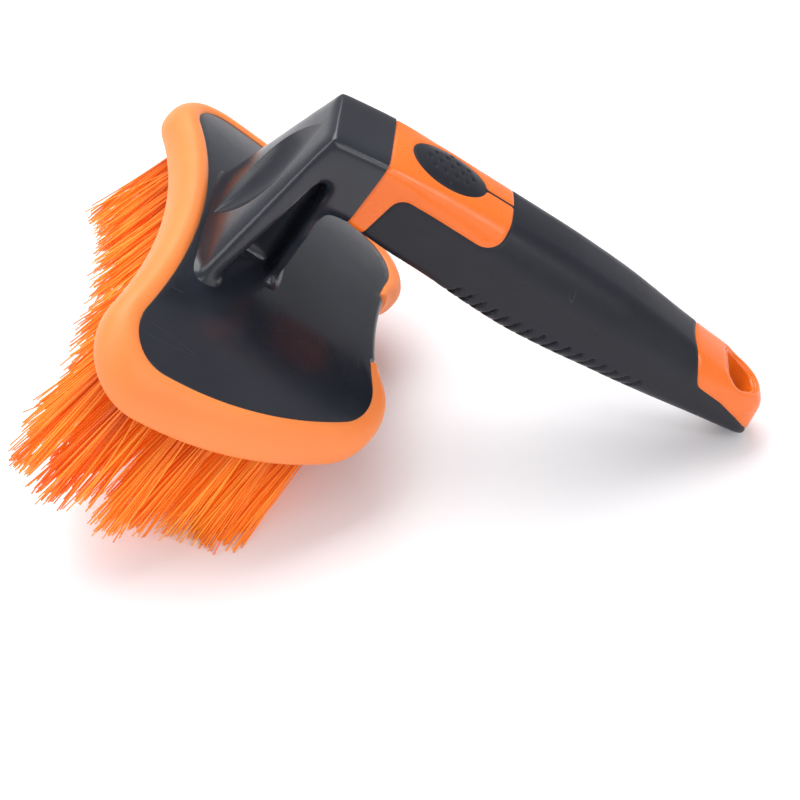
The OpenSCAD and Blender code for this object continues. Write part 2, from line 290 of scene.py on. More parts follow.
def side_centre():
    """Centre of the bowed side, whose arc is tangent to both corner arcs."""
    run = HEEL_CORNER - FRONT_CORNER
    span = np.linalg.norm(run)
    a, b = SIDE_R - FRONT_CORNER_R, SIDE_R - HEEL_CORNER_R
    along = (span**2 + a**2 - b**2) / (2 * span)
    off = math.sqrt(a**2 - along**2)
    step = run / span
    return FRONT_CORNER + along * step - off * np.array([-step[1], step[0]])


SIDE_CENTRE = side_centre()


def angle_to(a, b):
    return math.atan2(b[1] - a[1], b[0] - a[0])


def arc(centre, radius, a0, a1, steps):
    angles = np.linspace(a0, a1, steps + 1)[:, None]
    return centre + radius * np.hstack([np.cos(angles), np.sin(angles)])


def half_outline(grow):
    """The head's outline on the +y side, grown outwards, from the front waist to the heel waist."""
    a_front = angle_to(FRONT_HOLLOW, FRONT_CORNER)
    a_side_0 = angle_to(SIDE_CENTRE, FRONT_CORNER)
    a_side_1 = angle_to(SIDE_CENTRE, HEEL_CORNER)
    a_heel = angle_to(HEEL_CORNER, HEEL_HOLLOW)
    parts = [
        arc(FRONT_HOLLOW, FRONT_HOLLOW_R - grow, 0, a_front, 26),
        arc(FRONT_CORNER, FRONT_CORNER_R + grow, math.pi + a_front, a_side_0, 22)[1:],
        arc(SIDE_CENTRE, SIDE_R + grow, a_side_0, a_side_1, 22)[1:],
        arc(HEEL_CORNER, HEEL_CORNER_R + grow, a_side_1, a_heel, 20)[1:],
        arc(HEEL_HOLLOW, HEEL_HOLLOW_R - grow, math.pi + a_heel, math.pi, 44)[1:],
    ]
    return np.vstack(parts)


def outline(grow):
    half = half_outline(grow)
    other = half[-2:0:-1] * [1, -1]
    return np.vstack([half, other])


def arch(v):
    return -ARCH_R + np.sqrt(ARCH_R**2 - v**2)


def under(v):
    return -ARCH_R + np.sqrt(UNDER_R**2 - v**2)


def smooth(x, a, b):
    t = np.clip((x - a) / (b - a), 0, 1)
    return t * t * (3 - 2 * t)


def inside(points, polygon):
    x, y = points[:, 0], points[:, 1]
    result = np.zeros(len(points), bool)
    for (x0, y0), (x1, y1) in zip(polygon, np.roll(polygon, -1, axis=0)):
        if y0 != y1:
            crosses = ((y0 > y) != (y1 > y)) & (x < (x1 - x0) * (y - y0) / (y1 - y0) + x0)
            result ^= crosses
    return result


def fill(boundary, step, holes=()):
    """Triangles over a flat region: (points, triangles), the boundary's and holes' points first."""
    loops = [np.asarray(boundary)] + [np.asarray(h) for h in holes]
    edges, start = [], 0
    for loop in loops:
        count = len(loop)
        edges += [(start + i, start + (i + 1) % count) for i in range(count)]
        start += count
    fixed = np.vstack(loops)
    low, high = fixed.min(0), fixed.max(0)
    rows = np.arange(low[1] + step / 2, high[1], step * 0.866)
    grid = np.array([(x + (i % 2) * step / 2, y) for i, y in enumerate(rows)
                     for x in np.arange(low[0] + step / 2, high[0], step)])
    grid = grid[inside(grid, loops[0])]
    from_edge = np.full(len(grid), 1e9)
    for point in fixed:
        from_edge = np.minimum(from_edge, np.hypot(*(grid - point).T))
    grid = grid[from_edge > step * 0.55]
    for loop in loops[1:]:
        grid = grid[~inside(grid, loop)]
    seeds = [Vector(p) for p in np.vstack([fixed, grid])]
    found, _, faces, _, _, _ = delaunay_2d_cdt(seeds, edges, [], 0, 1e-6)
    found = np.array([tuple(p) for p in found])
    faces = np.array([tuple(f) for f in faces])
    middle = found[faces].mean(axis=1)
    keep = inside(middle, loops[0])
    for loop in loops[1:]:
        keep &= ~inside(middle, loop)
    return found, faces[keep]


def bridge(a, b, count, closed=True):
    """Quads between two rings of count points that start at a and b."""
    last = count if closed else count - 1
    return [(a + i, a + (i + 1) % count, b + (i + 1) % count, b + i) for i in range(last)]


# ---- tufts
TUFT_ROWS, ROW_PITCH, TUFT_PITCH, SIDE_COLUMN = 8, 9.4, 8.6, 6.5
TUFT_R, FREE_LEN = 2.2, 50.0
FRONT_LEAN, HEEL_LEAN, SIDE_LEAN = 9.0, 2.0, 15.0
FRONT_MARGIN, HEEL_MARGIN = 5.5, 4.5
SIDE_PUSH = -11.0  # the brush leans on its bristles and bends them all towards one side


def front_edge(v):
    return FRONT_HOLLOW[0] + math.sqrt(FRONT_HOLLOW_R**2 - v**2)


def heel_edge(v):
    if v < 22:
        return HEEL_WAIST + v * v / (2 * HEEL_HOLLOW_R)
    if v < 43:
        return HEEL_CORNER[0] + math.sqrt(HEEL_CORNER_R**2 - (v - HEEL_CORNER[1])**2)
    return SIDE_CENTRE[0] + math.sqrt(SIDE_R**2 - (v - SIDE_CENTRE[1])**2)


def turn_x(a):
    c, s = math.cos(a), math.sin(a)
    return np.array([[1, 0, 0], [0, c, -s], [0, s, c]])


def turn_y(a):
    c, s = math.cos(a), math.sin(a)
    return np.array([[c, 0, s], [0, 1, 0], [-s, 0, c]])


def tufts(row):
    """Column, foot and direction of each tuft in a row, in the head frame."""
    share = row / (TUFT_ROWS - 1)
    lean = math.radians(FRONT_LEAN - (FRONT_LEAN + HEEL_LEAN) * share)
    for column in range(-7, 8):
        k = column + (row % 2) / 2
        v = abs(k) * TUFT_PITCH
        if abs(k) > SIDE_COLUMN:
            continue
        u = front_edge(min(v, 50)) + FRONT_MARGIN + row * ROW_PITCH
        if u >= heel_edge(v) - HEEL_MARGIN:
            continue
        foot = np.array([u, k * TUFT_PITCH, under(v)])
        spread = math.radians(SIDE_LEAN * k / SIDE_COLUMN + SIDE_PUSH)
        way = turn_y(lean) @ turn_x(spread) @ np.array([0, 0, -1.0])
        yield k, foot, way


# ---- brush block: plate
HEEL_GAP = 16.0  # half-width of the heel's bare part
PLATE_EDGE_R, HIDDEN_EDGE_R, LOWER_EDGE_R = 2.2, 0.35, 1.0
TOP_STEP, UNDER_STEP = 2.4, 3.2
TUFT_HOLE_SIDES, TUFT_HOLE_ROOM, TUFT_HOLE_DEPTH = 16, 0.25, 3.0
BARE_PROUD = 2.8  # the bare heel edge stands out to the soft edge's own line


def covered(points, start, count, level, step, holes=()):
    """Fills the ring of points at start: (points with the new ones added, triangles)."""
    found, triangles = fill(points[start:start + count, :2], step, holes)
    extra = found[count:]
    place = np.concatenate([np.arange(start, start + count), len(points) + np.arange(len(extra))])
    return np.vstack([points, np.column_stack([extra, level(extra[:, 1])])]), place[triangles]


def plate_mesh():
    points, faces = [], []
    base = outline(0)
    count = len(base)
    bare = (base[:, 0] > 80) * (1 - smooth(np.abs(base[:, 1]), HEEL_GAP - 1.5, HEEL_GAP + 0.3))
    pulled = (outline(-PLATE_EDGE_R) * (1 - bare[:, None])
              + outline(BARE_PROUD - PLATE_EDGE_R) * bare[:, None])
    base = base * (1 - bare[:, None]) + outline(BARE_PROUD) * bare[:, None]
    radius = HIDDEN_EDGE_R + (PLATE_EDGE_R - HIDDEN_EDGE_R) * bare

    def ring(inset, top, level):
        flat = base + (pulled - base) * (inset / PLATE_EDGE_R)[:, None]
        n = (arch(flat[:, 1]) if top else under(flat[:, 1])) + level
        points.append(np.column_stack([flat, n]))
        return (len(points) - 1) * count

    rings = []
    for phi in np.linspace(0, math.pi / 2, 6):
        rings.append(ring(radius * (1 - math.sin(phi)), True, -radius * (1 - math.cos(phi))))
    for phi in np.linspace(0, math.pi / 2, 4):
        inset = np.full(count, LOWER_EDGE_R * (1 - math.cos(phi)))
        rings.append(ring(inset, False, LOWER_EDGE_R * (1 - math.sin(phi))))
    for a, b in zip(rings, rings[1:]):
        faces += bridge(a, b, count)
    points = np.vstack(points)

    points, triangles = covered(points, rings[0], count, arch, TOP_STEP)
    faces += [tuple(t) for t in triangles]

    sides = TUFT_HOLE_SIDES
    circle = arc(np.zeros(2), TUFT_R + TUFT_HOLE_ROOM, 0, 2 * math.pi, sides)[:-1]
    feet = [foot for row in range(TUFT_ROWS) for _, foot, _ in tufts(row)]
    holes = [foot[:2] + circle for foot in feet]
    first_rim = len(points)
    points, triangles = covered(points, rings[-1], count, under, UNDER_STEP, holes)
    faces += [tuple(t[::-1]) for t in triangles]
    for i in range(len(holes)):
        rim = first_rim + i * sides
        deep = len(points)
        wall = points[rim:rim + sides] + [0, 0, TUFT_HOLE_DEPTH]
        points = np.vstack([points, wall])
        faces += [tuple(reversed(q)) for q in bridge(rim, deep, sides)]
        faces.append(tuple(range(deep, deep + sides))[::-1])
    return make_mesh("plate", points, faces)


# ---- brush block: arm and neck
KNEE, SEAM_TOP, SEAM_BOTTOM = (34.9, 59.2), (53.6, 62.9), (57.4, 36.4)
MITRE_TOP, MITRE_END = (38.2, 52.3), (51.3, 35.0)
TOE_U, NECK_HALF, ARM_FLARE = 28.5, 13.5, 0.353
FOOT_N = -4.0  # the arm's parts start this far below the top of the arch
FOOT_FROM, FOOT_TO, FOOT_HALF = 26.5, 64.0, 29.0  # the skin round the arm's foot
ARM_VOXEL, ARM_ROUNDS = 0.7, 130
NECK_SPARE = 5.0  # melting shortens the neck, so it is built longer and cut at the seam
mitre = np.subtract(MITRE_END, MITRE_TOP) / np.linalg.norm(np.subtract(MITRE_END, MITRE_TOP))
mitre_normal = np.array([mitre[1], -mitre[0]])


def seam_u(n):
    run, drop = SEAM_BOTTOM[0] - SEAM_TOP[0], SEAM_TOP[1] - SEAM_BOTTOM[1]
    return SEAM_TOP[0] + (SEAM_TOP[1] - n) * run / drop


def flare_half(u, n):
    """Half-width of the arm where its sides flare out below the mitre line."""
    below = (u - MITRE_TOP[0]) * mitre_normal[0] + (n - MITRE_TOP[1]) * mitre_normal[1]
    return NECK_HALF + ARM_FLARE * below


def evaluated(obj):
    graph = bpy.context.evaluated_depsgraph_get()
    return bpy.data.meshes.new_from_object(obj.evaluated_get(graph), depsgraph=graph)


def boolean(a, b, operation):
    """a and b are meshes. Returns the mesh of a after the exact boolean with b."""
    first, second = new_object("first", a), new_object("second", b)
    cut = first.modifiers.new("cut", "BOOLEAN")
    cut.object, cut.operation, cut.solver = second, operation, "EXACT"
    result = evaluated(first)
    bpy.data.objects.remove(first)
    bpy.data.objects.remove(second)
    return result


def prism(name, profile, half, across=(-1, 1), bow=None):
    """A profile in (u, n), carried across y; half(u, n) gives its half-width and bow moves it."""
    points, count = [], len(profile)
    for f in across:
        for u, n in profile:
            shift = bow(f, u, n) if bow else 0.0
            points.append((u + shift, f * half(u, n), n))
    last = (len(across) - 1) * count
    faces = [tuple(range(count))[::-1], tuple(range(last, last + count))]
    for j in range(len(across) - 1):
        faces += bridge(j * count, (j + 1) * count, count)
    return make_mesh(name, points, faces)


def toe_bow(f, u, n):
    """The front face is bowed: its edges sweep back, most at the toe."""
    front_u = TOE_U + (KNEE[0] - TOE_U) * n / KNEE[1]
    if u > front_u + 1.0:
        return 0.0
    return (1 - min(max(n / KNEE[1], 0), 1)) * (1.3 * f * f + 1.9 * abs(f)**9)


def sheet_faces(rows, width, turned=False):
    """Faces of a closed solid between two sheets of rows by width points, one after the other."""
    total = rows * width
    faces = []
    for i in range(rows - 1):
        for j in range(width - 1):
            a = i * width + j
            first = (a, a + width, a + width + 1, a + 1)
            second = (a, a + 1, a + width + 1, a + width)
            if turned:
                first, second = second, first
            faces.append(first)
            faces.append(tuple(total + k for k in second))
    rim = list(range(width)) + [i * width + width - 1 for i in range(1, rows)]
    rim += list(range(total - 2, total - width - 1, -1))
    rim += [i * width for i in range(rows - 2, 0, -1)]
    for a, b in zip(rim, rim[1:] + rim[:1]):
        faces.append((b, a, a + total, b + total) if turned else (a, b, b + total, a + total))
    return faces


def slab_mesh():
    """A skin of the plate round the arm's foot, which the fillet grows from."""
    us, vs = np.linspace(FOOT_FROM, FOOT_TO, 12), np.linspace(-FOOT_HALF, FOOT_HALF, 25)
    points = [(u, v, arch(v) - depth) for depth in (0.25, 3.0) for u in us for v in vs]
    return make_mesh("slab", points, sheet_faces(len(us), len(vs)))


def joined(meshes):
    """One mesh that holds all the given ones."""
    points, faces = [], []
    for mesh in meshes:
        start = len(points)
        points += [tuple(v.co) for v in mesh.vertices]
        faces += [tuple(start + i for i in f.vertices) for f in mesh.polygons]
    result = bpy.data.meshes.new("joined")
    result.from_pydata(points, [], faces)
    return result


def melted(mesh, voxel, rounds):
    """The union of the mesh's solids with every edge and corner rounded."""
    obj = new_object("melted", mesh)
    grid = obj.modifiers.new("grid", "REMESH")
    grid.mode, grid.voxel_size, grid.adaptivity = "VOXEL", voxel / 1000, 0.0
    relax = obj.modifiers.new("relax", "SMOOTH")
    relax.factor, relax.iterations = 0.5, rounds
    result = evaluated(obj)
    bpy.data.objects.remove(obj)
    return result


def arm_mesh():
    """The front plate, neck, rear rib and web, melted into the skin of the plate below."""
    foot = FOOT_N
    front_foot = TOE_U + (KNEE[0] - TOE_U) * foot / KNEE[1]
    pocket_top = [(47.6, 38.6), (45.6, 41.4), (44.6, 43.4), (43.4, 44.4), (42.2, 43.4),
                  (41.9, 41.6)]
    plate = [(front_foot, foot), KNEE, MITRE_TOP, MITRE_END, *pocket_top, (36.4, foot)]
    arm = prism("arm", plate, flare_half, np.linspace(-1, 1, 13), toe_bow)
    end = [(SEAM_TOP[0] + NECK_SPARE, SEAM_TOP[1] + 1.0),
           (SEAM_BOTTOM[0] + NECK_SPARE, SEAM_BOTTOM[1] + 0.4)]
    neck = prism("neck", [KNEE, *end, MITRE_END, MITRE_TOP], lambda u, n: NECK_HALF + 0.3)
    rib = prism("rib", [(53.0, foot), (45.0, 42.4), (51.0, 36.2), (57.2, foot)],
                lambda u, n: 11.4 + 2.0 * max(n, 0) / 36.0)
    web = prism("web", [(33.0, foot), (38.0, 46.0), (47.0, 42.0), (54.0, foot)], lambda u, n: 3.0)
    solid = melted(joined([arm, neck, rib, web, slab_mesh()]), ARM_VOXEL, ARM_ROUNDS)
    seam = [(seam_u(n) + gap, n) for n, gap in ((80, 0), (80, 20), (20, 20), (20, 0))]
    solid = boolean(solid, prism("seam", seam, lambda u, n: 30.0), "DIFFERENCE")
    return boolean(solid, scoop_mesh(), "DIFFERENCE")


SCOOP_LOW, SCOOP_HIGH, SCOOP_HALF, SCOOP_DEEP = 1.6, 53.4, 11.6, 4.6


def scoop_mesh():
    """Cutter for the leaf-shaped hollow in the arm's front face."""
    lean = np.array([KNEE[0] - TOE_U, KNEE[1]])
    lean = lean / np.linalg.norm(lean)
    out = np.array([-lean[1], lean[0]])
    rows, columns = 40, 24
    points = []
    for layer in (0, 1):
        for s in np.linspace(-1, 1, rows + 1):
            n = SCOOP_LOW + (SCOOP_HIGH - SCOOP_LOW) * (s + 1) / 2
            u = TOE_U + (KNEE[0] - TOE_U) * n / KNEE[1]
            room = max(1 - s * s, 0.0004)
            for t in np.linspace(-1, 1, columns + 1):
                deep = SCOOP_DEEP * room * (1 - t * t)
                reach = -deep if layer == 0 else 8.0
                back = toe_bow(t * SCOOP_HALF * room / flare_half(u, n), u, n)
                points.append((u + back + out[0] * reach, t * SCOOP_HALF * room,
                               n + out[1] * reach))
    return make_mesh("scoop", points, sheet_faces(rows + 1, columns + 1, turned=True))


def smooth_by_angle(mesh, degrees):
    mesh.shade_smooth()
    mesh.set_sharp_from_angle(angle=math.radians(degrees))


def build_block():
    mesh = joined([plate_mesh(), arm_mesh()])
    smooth_by_angle(mesh, 40)
    add_piece("block", mesh, BLOCK, "brush_block")


# ---- edge bumper
def curve_through(points, per_span):
    """Catmull-Rom curve through the points."""
    p = np.asarray(points, float)
    p = np.vstack([2 * p[0] - p[1], p, 2 * p[-1] - p[-2]])
    result = []
    for i in range(1, len(p) - 2):
        for t in np.arange(per_span) / per_span:
            a, b, c, d = p[i - 1:i + 3]
            result.append(0.5 * (2 * b + (c - a) * t + (2 * a - 5 * b + 4 * c - d) * t * t
                                 + (3 * b - a - 3 * c + d) * t**3))
    result.append(p[-2])
    return np.array(result)


BUMPER_W, BUMPER_MIDDLE = 8.0, -6.5
BUMPER_END, BUMPER_GROWTH = 0.62, 0.40  # its share of the full width at the heel, and the rest
BUMPER_TAPER = (1.0, 14.0)  # how far from its ends it widens
BUMPER_CAP = 1.4  # length of its rounded ends
BUMPER_SECTION = [(0, 0.02), (0.5, 0.42), (1.6, 0.85), (3.0, 0.85), (4.6, 0.25), (6.1, -1.2),
                  (7.25, -3.3), (7.85, -6.0), (8.0, -8.8), (7.75, -11.2), (7.0, -13.0),
                  (5.6, -14.1), (3.6, -14.4), (0, -14.2)]


def build_bumper():
    section = curve_through(BUMPER_SECTION, 3)
    inner = np.array([(-0.3, -11.0), (-0.3, -6.0), (-0.3, -1.0)])
    section = np.vstack([section, inner])
    heel = len(outline(0)) // 2
    base, grown = np.roll(outline(0), -heel, axis=0), np.roll(outline(BUMPER_W), -heel, axis=0)
    path = np.concatenate([[0], np.cumsum(np.hypot(*np.diff(base, axis=0).T))])
    first = np.argmax(np.abs(base[:, 1]) > HEEL_GAP)
    last = len(base) - 1 - np.argmax(np.abs(base[::-1, 1]) > HEEL_GAP)
    from_end = np.minimum(path - path[first - 1] - 0.5, path[last + 1] - 0.5 - path)
    points, rings = [], []
    for i in range(first, last + 1):
        d = max(from_end[i], 0.0)
        wide = BUMPER_END + BUMPER_GROWTH * smooth(d, *BUMPER_TAPER)
        cap = math.sqrt(max(1 - (1 - min(d / BUMPER_CAP, 1))**2, 0.02))
        tall = (0.9 + 0.1 * wide) * (0.6 + 0.4 * cap)
        for g, z in section:
            reach = g * wide * cap / BUMPER_W if g > 0 else g / BUMPER_W
            flat = base[i] + (grown[i] - base[i]) * reach
            level = BUMPER_MIDDLE + (z - BUMPER_MIDDLE) * (1 if g < 0 else tall)
            points.append((flat[0], flat[1], arch(flat[1]) + level))
        rings.append(len(points) - len(section))
    faces = []
    for a, b in zip(rings, rings[1:]):
        faces += [tuple(reversed(q)) for q in bridge(a, b, len(section))]
    faces.append(tuple(range(rings[0], rings[0] + len(section))))
    faces.append(tuple(range(rings[-1], rings[-1] + len(section)))[::-1])
    make_piece("bumper", points, faces, EDGE, "edge_bumper")


# ---- handle
# Distance along, half-width, top, bottom, upper and lower corner radius, crown of the top
STATIONS = np.array([
    [55.5, 13.5, 62.6, 36.7, 2.6, 2.4, 0.7],
    [58.5, 13.5, 63.6, 36.0, 2.8, 3.0, 1.2],
    [63, 13.6, 64.8, 35.6, 3.2, 3.6, 2.0],
    [73, 13.9, 66.3, 35.3, 4.2, 4.5, 2.9],
    [86, 14.2, 67.5, 35.6, 5.6, 5.2, 2.9],
    [100, 15.0, 68.6, 36.1, 8.0, 5.2, 2.4],
    [115, 15.6, 69.8, 37.2, 10.0, 5.0, 1.8],
    [130, 15.7, 70.7, 39.0, 10.5, 5.6, 1.6],
    [150, 15.5, 71.2, 41.6, 10.5, 7.5, 1.6],
    [170, 14.2, 70.6, 44.0, 9.5, 8.5, 1.6],
    [185, 12.6, 69.9, 46.8, 7.0, 7.0, 1.4],
    [198, 10.8, 69.2, 49.4, 3.8, 4.6, 0.9],
    [205, 9.6, 68.6, 50.2, 3.2, 4.0, 0.7],
    [210, 8.4, 67.9, 50.5, 3.6, 3.8, 0.8],
    [213, 6.8, 67.0, 50.6, 3.2, 3.4, 0.6],
    [214.8, 4.6, 65.6, 51.2, 2.6, 2.6, 0.3],
    [215.5, 1.6, 63.8, 52.4, 1.4, 1.4, 0.0],
])


def station(u):
    """The handle's section sizes at u, by a smooth curve through the stations."""
    x = STATIONS[:, 0]
    i = int(np.clip(np.searchsorted(x, u) - 1, 0, len(x) - 2))
    h = x[i + 1] - x[i]
    t = (u - x[i]) / h

    def slope(j):
        if j == 0 or j == len(x) - 1:
            k = 0 if j == 0 else len(x) - 2
            return (STATIONS[k + 1] - STATIONS[k]) / (x[k + 1] - x[k])
        left = (STATIONS[j] - STATIONS[j - 1]) / (x[j] - x[j - 1])
        right = (STATIONS[j + 1] - STATIONS[j]) / (x[j + 1] - x[j])
        both = np.where(left + right == 0, 1, left + right)
        return np.where(left * right > 0, 2 * left * right / both, 0)

    a, b, m0, m1 = STATIONS[i], STATIONS[i + 1], slope(i) * h, slope(i + 1) * h
    return ((2 * t**3 - 3 * t**2 + 1) * a + (t**3 - 2 * t**2 + t) * m0
            + (3 * t**2 - 2 * t**3) * b + (t**3 - t**2) * m1)


def section_points(u, shares):
    """Half of a rounded section, from the middle of its top round to the middle of its bottom.

    shares places the points: 0-1 on the flat top, 1-2 round the upper corner, 2-3 down the side,
    3-4 round the lower corner and 4-5 on the flat bottom."""
    _, a, top, low, r, r_low, crown = station(u)
    room = (top - crown - low) / 2
    r, r_low = min(r, a, room), min(r_low, a, room)
    shoulder = top - crown
    y, n = np.empty(len(shares)), np.empty(len(shares))
    for i, share in enumerate(shares):
        k, f = min(int(share), 4), share - min(int(share), 4)
        turn = f * math.pi / 2
        if k == 0:
            y[i], n[i] = f * (a - r), shoulder
        elif k == 1:
            y[i], n[i] = a - r + r * math.sin(turn), shoulder - r + r * math.cos(turn)
        elif k == 2:
            y[i], n[i] = a, shoulder - r - f * (shoulder - low - r - r_low)
        elif k == 3:
            y[i], n[i] = a - r_low + r_low * math.cos(turn), low + r_low - r_low * math.sin(turn)
        else:
            y[i], n[i] = (1 - f) * (a - r_low), low
    middle = (shoulder + low) / 2
    lift = np.clip((n - middle) / max(shoulder - middle, 1e-6), 0, 1)
    n = n + crown * (1 - (y / max(a, 1e-6))**2) * lift
    return y, n


SEAM_GAP = -0.2  # the handle's skin starts inside the neck, so that no crack shows
FIRST_U, LAST_U = 55.5, 215.5
END_U, END_N, END_SLOPE = 212.2, 66.0, 0.44


def end_u(n):
    """Where the handle ends at a level: its end is raked."""
    return END_U + (END_N - n) * END_SLOPE


def handle_grid():
    """The handle's whole skin: a grid of points with attributes, columns running round it.

    Columns of the result: u, y, n, normal (3), place along, distance from the top's middle line,
    distance from the bottom's middle line."""
    rows = np.concatenate([
        np.arange(FIRST_U, 58, 0.5), np.arange(58, 88, 0.36), np.arange(88, 96, 0.5),
        np.arange(96, 168, 0.42), np.arange(168, 205, 0.8), np.arange(205, 213, 0.5),
        LAST_U - 2.5 * (np.cos(np.linspace(0, math.pi / 2, 9)))])
    half = np.concatenate([
        np.linspace(0, 1, 24)[:-1], np.linspace(1, 2, 18)[:-1], np.linspace(2, 3, 16)[:-1],
        np.linspace(3, 4, 16)[:-1], np.linspace(4, 5, 10)])
    table = []
    for u in rows:
        y, n = section_points(u, half)
        run = np.concatenate([[0], np.cumsum(np.hypot(np.diff(y), np.diff(n)))])
        y = np.concatenate([y, -y[-2:0:-1]])
        n = np.concatenate([n, n[-2:0:-1]])
        top = np.concatenate([run, -run[-2:0:-1]])
        low = np.concatenate([run[-1] - run, -(run[-1] - run[-2:0:-1])])
        start = seam_u(n) + SEAM_GAP
        along = start + (u - FIRST_U) / (LAST_U - FIRST_U) * (end_u(n) - start)
        table.append(np.column_stack([along, y, n, np.zeros((len(y), 3)), along, top, low]))
    grid = np.array(table)
    across = np.roll(grid[:, :, :3], -1, axis=1) - np.roll(grid[:, :, :3], 1, axis=1)
    lengthwise = np.gradient(grid[:, :, :3], axis=0)
    normal = np.cross(lengthwise, across)
    normal /= np.linalg.norm(normal, axis=2)[:, :, None] + 1e-12
    grid[:, :, 3:6] = normal
    return grid


def clip(points, faces, values):
    """The part of a mesh where values are positive, cut along their zero line."""
    points, values = list(points), list(values)
    cuts, kept = {}, []

    def cut(a, b):
        key = (min(a, b), max(a, b))
        if key not in cuts:
            t = values[key[0]] / (values[key[0]] - values[key[1]])
            t = min(max(t, 0.02), 0.98)
            points.append(points[key[0]] + t * (points[key[1]] - points[key[0]]))
            values.append(0.0)
            cuts[key] = len(points) - 1
        return cuts[key]

    for face in faces:
        signs = [values[i] > 0 for i in face]
        if all(signs):
            kept.append(face)
        elif any(signs):
            polygon = []
            for i, a in enumerate(face):
                b = face[(i + 1) % len(face)]
                if values[a] > 0:
                    polygon.append(a)
                if (values[a] > 0) != (values[b] > 0):
                    polygon.append(cut(a, b))
            if len(polygon) >= 3:
                kept.append(tuple(polygon))
    used = sorted({i for face in kept for i in face})
    place = {old: new for new, old in enumerate(used)}
    return np.array([points[i] for i in used]), [tuple(place[i] for i in face) for face in kept]


def rounded_box(x, y, x0, x1, half, radius):
    """Signed distance to a rounded rectangle, negative inside."""
    cx, hx = (x0 + x1) / 2, (x1 - x0) / 2
    dx, dy = np.abs(x - cx) - hx + radius, np.abs(y) - half + radius
    outside = np.hypot(np.maximum(dx, 0), np.maximum(dy, 0))
    return outside + np.minimum(np.maximum(dx, dy), 0) - radius


PANEL_END, PANEL_HALF, PANEL_CORNER = 97.2, 19.6, 6.0
PAD_U, PAD_HALF_LEN, PAD_HALF_W = 73.4, 13.4, 8.6
RUNNER_HALF = 0.45
UNDER_START, UNDER_HALF = 74.0, 12.5
COLLAR_END = 63.2
LOOP_START, LOOP_BOW = 175.8, 0.030  # where the end loop meets the grip on top
LOOP_FLOOR = ([184.5, 197, 207, 215, 219.5], [61.2, 60.0, 57.6, 55.0, 51.6])
PAD_LIP = (0.25, 0.35)


def smooth_min(a, b, k):
    h = np.clip(0.5 + 0.5 * (b - a) / k, 0, 1)
    return b + (a - b) * h - k * h * (1 - h)


def pad_distance(p):
    """Negative inside the thumb pad and its runner."""
    x, y = (p[:, 6] - PAD_U) / PAD_HALF_LEN, p[:, 7] / PAD_HALF_W
    oval = (np.hypot(x, y) - 1) * PAD_HALF_W
    ends = np.maximum(PAD_U - p[:, 6], p[:, 6] - PANEL_END - 1)
    runner = np.maximum(np.abs(p[:, 7]) - RUNNER_HALF, ends)
    return smooth_min(oval, runner, 1.0)


def loop_floor(along):
    """The level under the end loop, where the grip's underside begins."""
    return np.interp(along, *LOOP_FLOOR)


def orange_distance(p):
    """Negative where the core shows, counting the pad as part of its panel."""
    along, top, low = p[:, 6], p[:, 7], p[:, 8]
    panel = rounded_box(along, top, 40.0, PANEL_END, PANEL_HALF, PANEL_CORNER)
    collar = along - COLLAR_END
    patch = rounded_box(along, low, UNDER_START, PANEL_END + 0.6, UNDER_HALF, 7.0)
    front = LOOP_START + LOOP_BOW * top**2
    loop = -smooth_min(along - front, (p[:, 2] - loop_floor(along)) * 0.95, 1.5)
    return np.minimum(np.minimum(smooth_min(panel, collar, 5.0), patch), loop)


HOLE_R, HOLE_WIDE_R, HOLE_WIDE_BACK, HOLE_FLAT = 7.5, 8.8, 2.6, 8.9
HOLE_MOUTH = 60.0  # above this level the hole is wider than its bore
HOLE_RIM_R, WALL_INSET = 1.0, 0.95


def hole_distance(p):
    """Negative inside the hang hole: a round bore with a mouth wider towards the grip."""
    x, y = p[:, 0] - HANG_U, np.abs(p[:, 1])
    bore = np.hypot(x, y) - HOLE_R
    mouth = -smooth_min(HOLE_WIDE_R - np.hypot(x + HOLE_WIDE_BACK, y), x + HOLE_FLAT, 2.0)
    return np.where(p[:, 2] > HOLE_MOUTH, smooth_min(bore, mouth, 0.4), bore)


GROOVES, GROOVE_START, GROOVE_PITCH = 16, 96.8, 4.57
GROOVE_DEPTH, GROOVE_HALF, GROOVE_LEAN = 1.1, 0.52, 0.45
GROOVE_RISE, GROOVE_RISE_STEP = 6.6, 0.12  # how far up the side the first runs, and each next


def groove_depth(p):
    """Depth of the finger grooves under the grip, which run a little way up its sides."""
    rise = np.maximum(p[:, 2] - np.interp(p[:, 0], STATIONS[:, 0], STATIONS[:, 3]), 0)
    along = p[:, 6] - GROOVE_LEAN * rise - GROOVE_START
    nearest = np.clip(np.round(along / GROOVE_PITCH), 0, GROOVES - 1)
    reach = GROOVE_RISE + GROOVE_RISE_STEP * nearest
    profile = np.exp(-((along - nearest * GROOVE_PITCH) / GROOVE_HALF)**4)
    return GROOVE_DEPTH * profile * (1 - smooth(rise, reach - 1.2, reach))


DIMPLE_STEP, DIMPLE_ROW, DIMPLE_DEPTH, DIMPLE_R = 3.9, 3.1, 0.4, 0.75


def dimple_depth(p):
    """Depth of the small dents in the thumb pad, in staggered rows."""
    depth = np.zeros(len(p))
    for row in range(-2, 3):
        for column in range(-3, 4):
            x, y = column * DIMPLE_STEP + (row % 2) * DIMPLE_STEP / 2, row * DIMPLE_ROW
            if (x / (PAD_HALF_LEN - 2.6))**2 + (y / (PAD_HALF_W - 2.0))**2 < 1:
                away = np.hypot(p[:, 6] - PAD_U - x, p[:, 7] - y)
                depth += DIMPLE_DEPTH * np.exp(-(away / DIMPLE_R)**4)
    return depth


def lip(distance, deep=0.32, wide=0.42):
    """The small rounding at the line where two materials meet."""
    return deep * np.exp(-(distance / wide)**2)


def hole_rim(p):
    """Depth of the rounding round the hang hole's rim."""
    r = HOLE_RIM_R
    away = np.clip(hole_distance(p), 0, r)
    return r - np.sqrt(np.maximum(r * r - (r - away)**2, 0))


